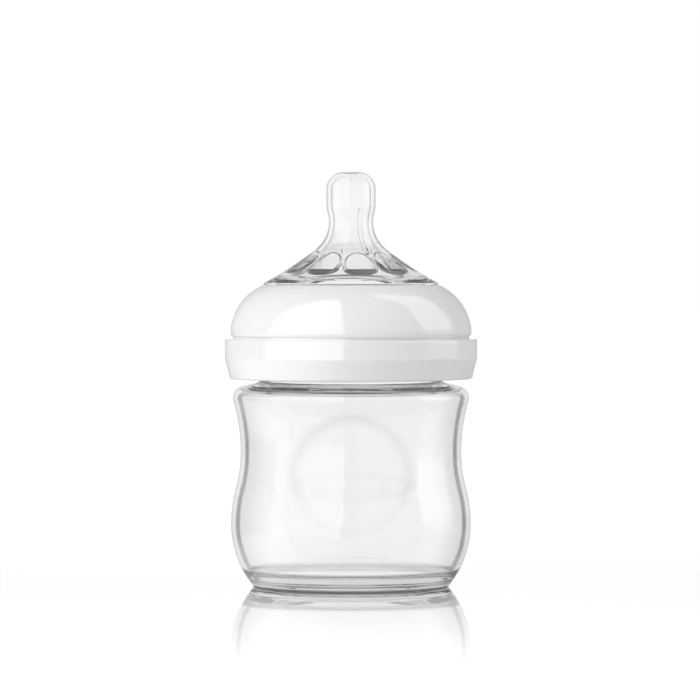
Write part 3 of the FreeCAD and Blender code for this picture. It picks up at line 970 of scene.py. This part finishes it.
@dataclass
class ScrewRing(Moulding):
    """The white screw ring: dome, ledge and band outside, threaded sleeve inside."""

    name: str = "ring_shell"
    node: str = "screw_ring"
    body: str = "ring"
    slot: str = "white_ring"
    steps: int = 240
    finish: GlossFinish = WHITE_PLASTIC
    hole_radius: float = 22.9
    land_width: float = 1.1
    hole_fillet: float = 0.3
    wall: float = 1.6
    clamp_thickness: float = 3.5
    sleeve_bore: float = 26.6
    sleeve_wall: float = 1.4
    sleeve_recess: float = 1.0
    dome_inset: float = 1.55
    dome_lean: float = 8.0
    dome_upright: float = 1.3
    snap_lean_height: float = 0.75
    snap_lean_depth: float = 0.25
    snap_groove_height: float = 0.8
    snap_groove_depth: float = 0.4
    band_height: float = 10.85
    band_upright: float = 4.85
    band_bend: float = 3.0
    band_taper: float = 14.0
    band_top_fillet: float = 0.35
    band_foot_fillet: float = 0.6
    thread: Thread = Thread(low=61.75)
    thread_spacing: float = 0.25

    def __post_init__(self) -> None:
        """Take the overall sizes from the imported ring."""
        low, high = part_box(self.node)
        self.band_radius = high[0] / MM
        self.top = high[2] / MM
        self.foot = low[2] / MM
        self.ledge = self.foot + self.band_height
        self.dome_radius = self.band_radius - self.dome_inset
        self.ceiling = self.top - self.clamp_thickness

    def profile(self) -> Profile:
        """The ring's section: over the dome and ledge, round the band's foot, and down the sleeve.

        Returns:
            The profile, to be turned.
        """
        land_radius = self.hole_radius + self.land_width
        lip_height = self.ledge + self.snap_groove_height
        lip_radius = self.dome_radius - self.snap_lean_depth
        groove_radius = lip_radius - self.snap_groove_depth
        wall_foot = lip_height + self.snap_lean_height
        dome_foot = wall_foot + self.dome_upright
        lean = math.radians(self.dome_lean)
        across = self.dome_radius - land_radius
        rise = self.top - dome_foot
        dome_arc = (across ** 2 + rise ** 2) / (2.0 * (across * math.cos(lean) - rise * math.sin(lean)))
        dome_center = on_circle((self.dome_radius, dome_foot), dome_arc, 180.0 + self.dome_lean)
        dome_end = math.degrees(math.asin((self.top - dome_center[1]) / dome_arc))
        taper = math.radians(self.band_taper)
        bend = (self.band_radius - self.band_bend, self.ledge - self.band_upright)

        def taper_radius(depth: float, height: float) -> float:
            """Radius of the band's lower half, this deep in its wall."""
            fall = (height - bend[1]) * math.sin(taper)
            return bend[0] + (self.band_bend - depth + fall) / math.cos(taper)

        ledge_edge = (self.band_radius - self.band_top_fillet, self.ledge - self.band_top_fillet)
        foot_height = self.foot + self.band_foot_fillet
        foot_edge = (taper_radius(self.band_foot_fillet, foot_height), foot_height)
        sleeve = self.sleeve_bore + self.sleeve_wall
        inner_dome = dome_arc - self.wall
        inner_end = math.degrees(math.acos((sleeve - dome_center[0]) / inner_dome))
        sleeve_foot = self.foot + self.sleeve_recess
        under_ledge = self.ledge - self.wall
        whole = Profile()
        whole.line(self.hole_radius, self.ceiling)
        whole.arc((self.hole_radius + self.hole_fillet, self.top - self.hole_fillet),
                  self.hole_fillet, 180.0, 90.0, spacing=0.1)
        whole.arc(dome_center, dome_arc, dome_end, self.dome_lean)
        whole.line(self.dome_radius, wall_foot, spacing=0.4)
        whole.line(lip_radius, lip_height, spacing=0.3)
        whole.line(groove_radius, lip_height)
        whole.line(groove_radius, self.ledge)
        whole.arc(ledge_edge, self.band_top_fillet, 90.0, 0.0, spacing=0.1)
        whole.arc(bend, self.band_bend, 0.0, -self.band_taper, spacing=0.3)
        whole.arc(foot_edge, self.band_foot_fillet, -self.band_taper, -90.0, spacing=0.1)
        whole.line(taper_radius(self.wall, self.foot), self.foot)
        whole.arc(bend, self.band_bend - self.wall, -self.band_taper, 0.0)
        whole.line(self.band_radius - self.wall, under_ledge)
        whole.line(self.dome_radius - self.wall, under_ledge)
        whole.arc(dome_center, inner_dome, self.dome_lean, inner_end)
        whole.line(sleeve, sleeve_foot)
        whole.line(self.sleeve_bore, sleeve_foot)
        whole.line(self.sleeve_bore, self.thread.low - self.thread.foot)
        whole.line(self.sleeve_bore, self.thread.low + self.thread.lead, self.thread_spacing)
        whole.line(self.sleeve_bore, self.ceiling)
        whole.line(self.hole_radius, self.ceiling)
        return whole

    def carve(self, places: Places) -> tuple[Array, Array]:
        """Raise the thread inside the sleeve, half a pitch below the ridges of the neck.

        Args:
            places: The places of the points.

        Returns:
            New radii and heights.
        """
        azimuth, radius, height = places
        on_bore = np.abs(radius - self.sleeve_bore) < ON_FACE
        return radius - self.thread.height * self.thread.share(azimuth, height) * on_bore, height

    def shape(self, piece: bpy.types.Object) -> None:
        """Raise the thread of the sleeve."""
        press(piece, self.carve)


@dataclass(frozen=True)
class SoftBox:
    """A square studio lamp that faces the bottle and lights only what is matt."""

    name: str
    place: tuple[float, float, float]
    size: tuple[float, float]
    power: float

    def build(self, target: tuple[float, float, float]) -> None:
        """Hang the lamp at its place and turn it to the target.

        Args:
            target: The point that it faces, in metres.
        """
        bpy.ops.object.light_add(type="AREA", location=self.place)
        lamp = bpy.context.object
        lamp.name = self.name
        lamp.data.shape = "RECTANGLE"
        lamp.data.size, lamp.data.size_y = self.size
        lamp.data.energy = self.power
        away = lamp.location - type(lamp.location)(target)
        lamp.rotation_euler = away.to_track_quat("Z", "Y").to_euler()
        lamp.visible_camera = lamp.visible_transmission = lamp.visible_glossy = False


@dataclass(frozen=True)
class View:
    """The camera, which looks at the front from just above the rim; metres, and pixels of the picture."""

    distance: float = 1.3
    height: float = 0.090
    pixels_per_metre: float = 3693.0
    foot_row: float = 586.0
    axis_column: float = 351.0

    def build(self) -> None:
        """Set the camera up so that the bottle's foot and axis fall where they do in the picture."""
        focal_pixels = self.pixels_per_metre * self.distance
        foot_fall = math.atan2(self.height, self.distance)
        foot_below = math.atan2(self.foot_row - PHOTO_PIXELS / 2, focal_pixels)
        aside = (PHOTO_PIXELS / 2 - self.axis_column) / self.pixels_per_metre
        bpy.ops.object.camera_add(
            location=(aside, -self.distance, self.height),
            rotation=(math.pi / 2 - (foot_fall - foot_below), 0.0, 0.0))
        camera = bpy.context.object
        camera.name = "camera"
        camera.data.lens = camera.data.sensor_width * focal_pixels / PHOTO_PIXELS
        bpy.context.scene.camera = camera


@dataclass(frozen=True)
class Sky:
    """The light all round: white to look at, soft boxes for gloss, and low dark flags for clear walls.

    Spans called across, back or up are parts of a direction, to +X, to +Y or up, and those of mirrorings are
    counts. The other fields are levels and shares of white.
    """

    fill: float = 0.5
    dim: float = 0.5
    mirrorings_one: Span = (0.2, 0.8)
    mirrorings_two: Span = (1.2, 1.8)
    left_across: Span = (-0.14, -0.10)
    left_back: Span = (-0.22, 0.0)
    strip_across: Span = (0.12, 0.3)
    strip_near_back: Span = (-0.03, 0.05)
    near_slant: float = 0.3
    near_slant_up: Span = (0.45, 1.0)
    strip_far_back: Span = (0.32, 0.48)
    far_slant: float = 0.2
    far_slant_up: Span = (0.75, 0.95)
    strip_up: Span = (-0.15, 0.12)
    behind_back: Span = (0.97, 1.0)
    gloss_left: float = 1.7
    gloss_strip: float = 1.3
    gloss_far: float = 0.2
    far_across: Span = (-0.5, -0.2)
    far_back: Span = (-0.1, 0.2)
    low_up: Span = (-0.2, -0.1)
    low_left: float = 1.05
    low_left_across: Span = (-0.9, 0.05)
    low_left_loss: float = 0.5
    low_left_back: Span = (0.3, 0.7)
    low_right: float = 0.25
    low_right_across: Span = (0.0, 0.6)
    clear_left: float = 0.25
    clear_strip: float = 0.8
    front_back: Span = (-0.3, -0.05)
    front_floor: float = 0.6
    front_floor_up: Span = (-0.7, -0.3)
    flag_waves: float = 8.0
    flag_low: float = 0.12
    flag_high: float = 0.04
    flag_up: Span = (-0.030, -0.012)
    ceiling: float = 0.1
    ceiling_up: Span = (0.35, 0.7)
    below: float = 0.08
    below_up: Span = (-0.66, -0.5)
    lost: float = 0.15

    def build(self) -> None:
        """Wire the world, so that each kind of ray meets its own light."""
        world = bpy.data.worlds.new("studio")
        bpy.context.scene.world = world
        graph = Graph(world)
        step, fade = graph.soft_step, graph.fade
        split = {"Vector": graph.place("Generated")}
        across, back, up = (graph.node("ShaderNodeSeparateXYZ", None, split, axis) for axis in "XYZ")
        seen = Ray.CAMERA.wire(graph)
        through = Ray.TRANSMISSION.wire(graph)
        mirrored = Ray.GLOSSY.wire(graph) * (1.0 - through)
        mirrorings = Ray.MIRRORINGS.wire(graph)
        bounced = step(mirrorings, self.mirrorings_one)
        many = step(mirrorings, self.mirrorings_two)
        left_box = fade(across, self.left_across) * fade(back, self.left_back)
        near = back + self.near_slant * fade(up, self.near_slant_up)
        far = back + self.far_slant * step(up, self.far_slant_up)
        strip = step(across, self.strip_across) * step(near, self.strip_near_back)
        strip = strip * fade(far, self.strip_far_back) * step(up, self.strip_up)
        lowered = fade(up, self.low_up)
        left_far = fade(across, self.far_across) * step(back, self.far_back)
        left_low = self.low_left * fade(across, self.low_left_across)
        left_low = left_low * (1.0 - self.low_left_loss * step(back, self.low_left_back))
        side_low = left_low - self.low_right * step(across, self.low_right_across)
        side = self.gloss_left * left_box + self.gloss_far * left_far
        gloss = self.dim + side * (1.0 - lowered) + side_low * lowered + self.gloss_strip * strip
        gloss = gloss + (1.0 - self.dim) * step(back, self.behind_back)
        turn = graph.node("ShaderNodeMath", {"operation": "ARCTAN2"}, {0: across, 1: back})
        wave = graph.node("ShaderNodeMath", {"operation": "COSINE"}, {0: turn * self.flag_waves})
        flags = (0.5 - 0.5 * wave) ** 2.0
        flag = self.flag_high + (self.flag_low - self.flag_high) * fade(up, self.flag_up)
        straight = (1.0 - flags * flag) * (1.0 - self.ceiling * step(up, self.ceiling_up))
        front = bounced * fade(back, self.front_back)
        boxes = self.dim + self.clear_left * left_box + self.clear_strip * strip
        underside = self.front_floor + (1.0 - self.front_floor) * step(up, self.front_floor_up)
        clear = straight * (1.0 - front) + boxes * underside * front
        clear = clear * (1.0 - bounced * (1.0 - self.below) * fade(up, self.below_up))
        clear = clear * (1.0 - self.lost * many)
        level = seen + through * clear + mirrored * gloss + (1.0 - seen - through - mirrored) * self.fill
        sky = graph.node("ShaderNodeBackground", None, {"Color": grey(1.0), "Strength": level})
        graph.node("ShaderNodeOutputWorld", None, {"Surface": sky})


@dataclass(frozen=True)
class Sweep:
    """The white floor, which takes real shade from the bottle, carries a painted contact shadow and painted
    soft shade round its foot, and mirrors it near its foot; sizes in metres.
    """

    half: float = 6.0
    drop: float = 0.00005
    white: float = 0.9
    glow: float = 1.12
    polish: float = 0.03
    mirror: float = 0.65
    mirror_span: Span = (0.03, 0.33)
    foot: float = 0.35
    foot_span: Span = (0.028, 0.045)
    shade: float = 0.3
    # Painted contact shadow under the foot, painted soft shade in front of it, and a painted dark ring of
    # shade that clear walls see under the foot
    contact_shadow: float = 0.9
    touch_front: float = 0.001
    touch_span: Span = (0.0258, 0.0275)
    soft: float = 0.35
    soft_front: float = 0.020
    soft_span: Span = (0.016, 0.034)
    under: float = 0.6
    hollow_span: Span = (0.0190, 0.0215)

    def build(self) -> None:
        """Lay the floor, which clear walls and gloss look through but for a painted dark ring of shade under
        the foot.
        """
        bpy.ops.mesh.primitive_plane_add(size=2.0 * self.half, location=(0.0, 0.0, -self.drop))
        floor = bpy.context.object
        floor.name = "floor"
        made = bpy.data.materials.new("white_sweep")
        graph = Graph(made)
        place = graph.place()
        distance = graph.distance(place)
        near = graph.fade(distance, self.mirror_span)
        seen = Ray.CAMERA.wire(graph)
        # Painted contact shadow round the foot and painted soft shade in front of it, darkening both the
        # matt floor and its glow
        contact_shadow_disc = graph.fade(graph.distance(place, self.touch_front), self.touch_span)
        contact = self.contact_shadow * contact_shadow_disc
        soft_shadow = self.soft * graph.fade(graph.distance(place, self.soft_front), self.soft_span)
        dark = contact + (1.0 - contact) * soft_shadow
        matt = graph.node("ShaderNodeBsdfDiffuse", None, {
            "Color": graph.blend(dark, grey(self.white), grey(0.0))})
        glow = graph.node("ShaderNodeEmission", None, {
            "Color": graph.blend(dark, grey(1.0), grey(0.0)), "Strength": self.glow})
        white = graph.node("ShaderNodeMixShader", None, {
            0: seen * (1.0 - self.shade * near), 1: matt, 2: glow})
        mirror = graph.node("ShaderNodeBsdfGlossy", None, {"Color": grey(1.0), "Roughness": self.polish})
        foot = self.foot * graph.fade(distance, self.foot_span)
        share = near * (self.mirror + foot) * (1.0 - contact) * seen
        sheen = graph.node("ShaderNodeMixShader", None, {0: share, 1: white, 2: mirror})
        gone = graph.node("ShaderNodeBsdfTransparent", None, {"Color": grey(1.0)})
        clear = graph.higher(Ray.TRANSMISSION.wire(graph), Ray.GLOSSY.wire(graph))
        # Painted shade: clear walls see a dark floor ring under the foot instead of looking through it
        under = self.under * contact_shadow_disc * graph.soft_step(distance, self.hollow_span)
        surface = graph.node("ShaderNodeMixShader", None, {0: clear * (1.0 - under), 1: sheen, 2: gone})
        graph.node("ShaderNodeOutputMaterial", None, {"Surface": surface})
        floor.data.materials.append(made)


@dataclass(frozen=True)
class Studio:
    """The white studio: camera, sky, floor and soft lamps."""

    view: View = View()
    sky: Sky = Sky()
    sweep: Sweep = Sweep()
    lamps: tuple[SoftBox, ...] = (
        SoftBox("key_left", (-0.9, -0.8, 0.7), (0.9, 0.9), 11.0),
        SoftBox("fill_right", (1.2, -0.1, 0.5), (0.8, 0.9), 3.8),
    )
    target: tuple[float, float, float] = (0.0, 0.0, 0.06)
    most_bounces: int = 32

    def build(self) -> None:
        """Set up camera, world, floor and lamps, with colours shown as they are."""
        scene = bpy.context.scene
        scene.view_settings.view_transform = "Standard"
        scene.cycles.max_bounces = self.most_bounces
        scene.cycles.glossy_bounces = self.most_bounces
        scene.cycles.transmission_bounces = self.most_bounces
        self.view.build()
        self.sky.build()
        self.sweep.build()
        for lamp in self.lamps:
            lamp.build(self.target)


def main() -> None:
    """Load the frame, build each piece on it, and set up the studio."""
    logging.basicConfig(level=logging.INFO, format="%(name)s: %(message)s")
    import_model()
    for part in (Bottle(), Teat(), ScrewRing()):
        piece = part.build()
        LOG.info("%s: %d faces on %s", piece.name, len(piece.data.polygons), part.body)
    Studio().build()


if __name__ == "__main__":
    main()
